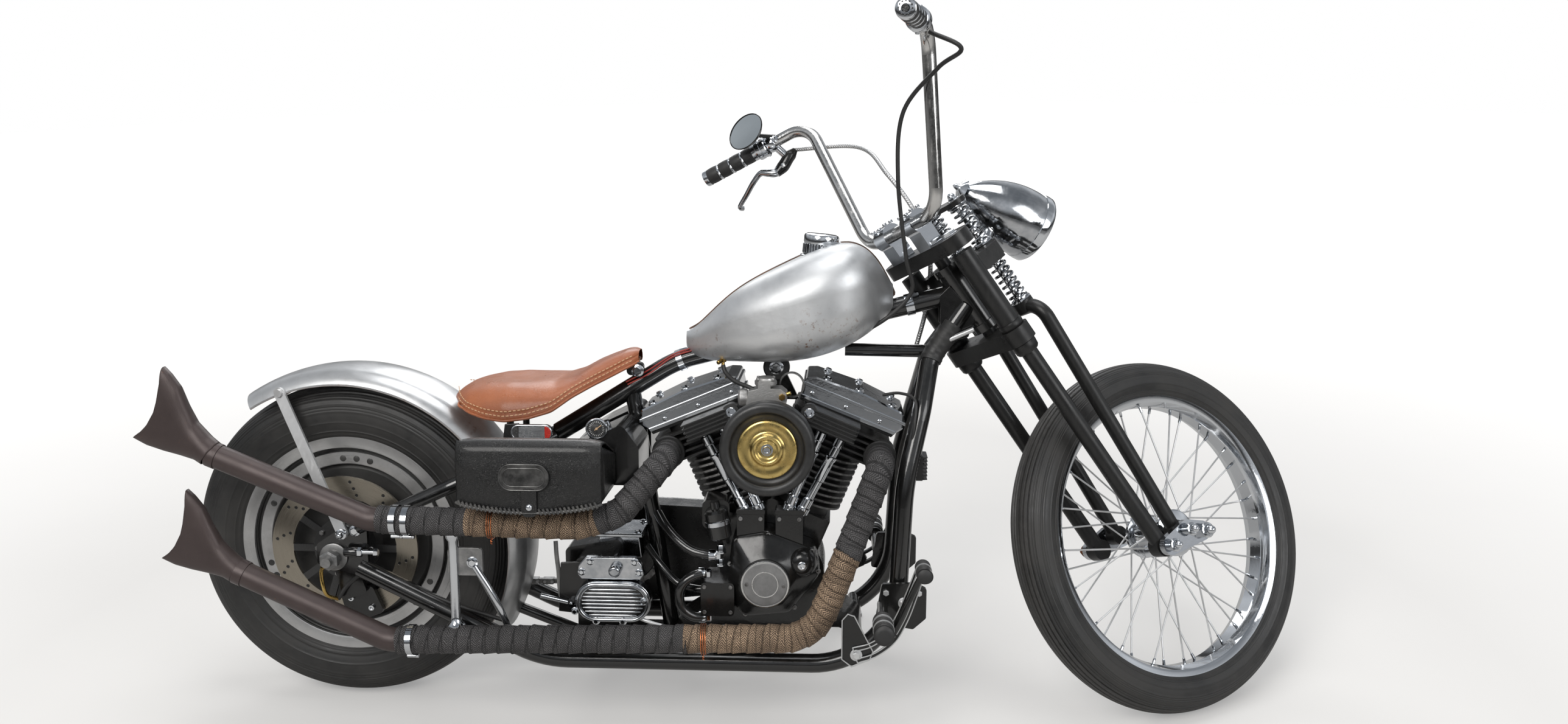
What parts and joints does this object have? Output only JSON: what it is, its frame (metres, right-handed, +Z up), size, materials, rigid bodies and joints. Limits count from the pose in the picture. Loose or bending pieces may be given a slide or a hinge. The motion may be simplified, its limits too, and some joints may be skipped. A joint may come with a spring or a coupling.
{
  "type": "chopper motorcycle",
  "caption": "Rigid-frame chopper motorcycle on its side stand, with a springer fork turned left, high bars, an air-cooled vee twin and wrapped fishtail exhausts.",
  "frame": {"origin": "on the ground, below the middle of the parked motorcycle's box", "axes": "+X towards the front wheel, +Y to the rider's left, +Z up; stored leaning left on its side stand"},
  "size_m": [2.2848, 0.767, 1.3656],
  "materials": {
    "black_enamel": "gloss",
    "silver_paint": "satin",
    "bright_chrome": "polished",
    "cast_alloy": "satin",
    "brushed_steel": "brushed",
    "cast_iron": "matte",
    "rubber": "matte",
    "tyre": "matte",
    "tan_leather": "satin",
    "black_leather": "satin",
    "exhaust_wrap": "matte"
  },
  "bodies": {
    "chassis": {"air_cleaner": "black_enamel", "axle_plates": "black_enamel", "backbone": "black_enamel", "barrels": "cast_iron", "cam_cover": "black_enamel", "carburettor": "cast_alloy", "crankcase": "black_enamel", "cross_members": "black_enamel", "cylinder_heads": "cast_iron", "downtube_left": "black_enamel", "downtube_right": "black_enamel", "drive_chain": "brushed_steel", "engine_mount": "black_enamel", "exhaust_hanger": "bright_chrome", "fender_mount": "black_enamel", "fender_struts": "brushed_steel", "foot_controls": "black_enamel", "frame_neck": "black_enamel", "fuel_cap": "bright_chrome", "fuel_tank": "silver_paint", "gearbox": "black_enamel", "gearbox_cover": "bright_chrome", "lifter_blocks": "black_enamel", "lower_exhaust": "exhaust_wrap", "oil_cap": "bright_chrome", "oil_tank": "black_enamel", "points_cover": "bright_chrome", "primary_cover": "cast_alloy", "pushrod_tubes": "bright_chrome", "rear_axle": "brushed_steel", "rear_caliper": "black_enamel", "rear_fender": "silver_paint", "rear_stays": "black_enamel", "rocker_covers": "bright_chrome", "seat": "tan_leather", "seat_mount": "black_enamel", "seat_post": "black_enamel", "stand_bracket": "black_enamel", "tool_bag": "black_leather", "upper_exhaust": "exhaust_wrap"},
    "fork": {"fork_trees": "black_enamel", "rear_legs": "black_enamel", "front_legs": "black_enamel", "springs": "bright_chrome", "spring_perch": "black_enamel", "rockers": "bright_chrome", "handlebar": "bright_chrome", "bar_clamps": "bright_chrome", "grips": "rubber", "clutch_lever": "bright_chrome", "mirror": "bright_chrome", "headlamp": "bright_chrome"},
    "front_wheel_body": {"front_tyre": "tyre", "front_wheel": "brushed_steel"},
    "rear_wheel_body": {"rear_tyre": "tyre", "rear_wheel": "cast_alloy", "rear_rotor": "brushed_steel", "rear_sprocket": "brushed_steel"},
    "stand": {"side_stand": "black_enamel"}
  },
  "joints": [
    {"name": "steering", "type": "hinge", "parent": "chassis", "child": "fork", "pos_m": [0.7843, -0.02741, 0.29564], "axis": [-0.5689, 0.1075, 0.8154], "range_deg": [-68.4, 0]},
    {"name": "front_wheel_spin", "type": "hinge", "parent": "fork", "child": "front_wheel_body", "pos_m": [0.82745, 0.01196, 0.32055], "axis": [-0.4633, 0.7773, -0.4257], "continuous": true},
    {"name": "rear_wheel_spin", "type": "hinge", "parent": "chassis", "child": "rear_wheel_body", "pos_m": [-0.79366, -0.02614, 0.31988], "axis": [-0.0012, 0.9913, -0.1316], "continuous": true},
    {"name": "side_stand_fold", "type": "hinge", "parent": "chassis", "child": "stand", "pos_m": [0.10897, 0.1141, 0.06082], "axis": [-0.0247, 0.4154, 0.9093], "range_deg": [0, 115.11]}
  ]
}
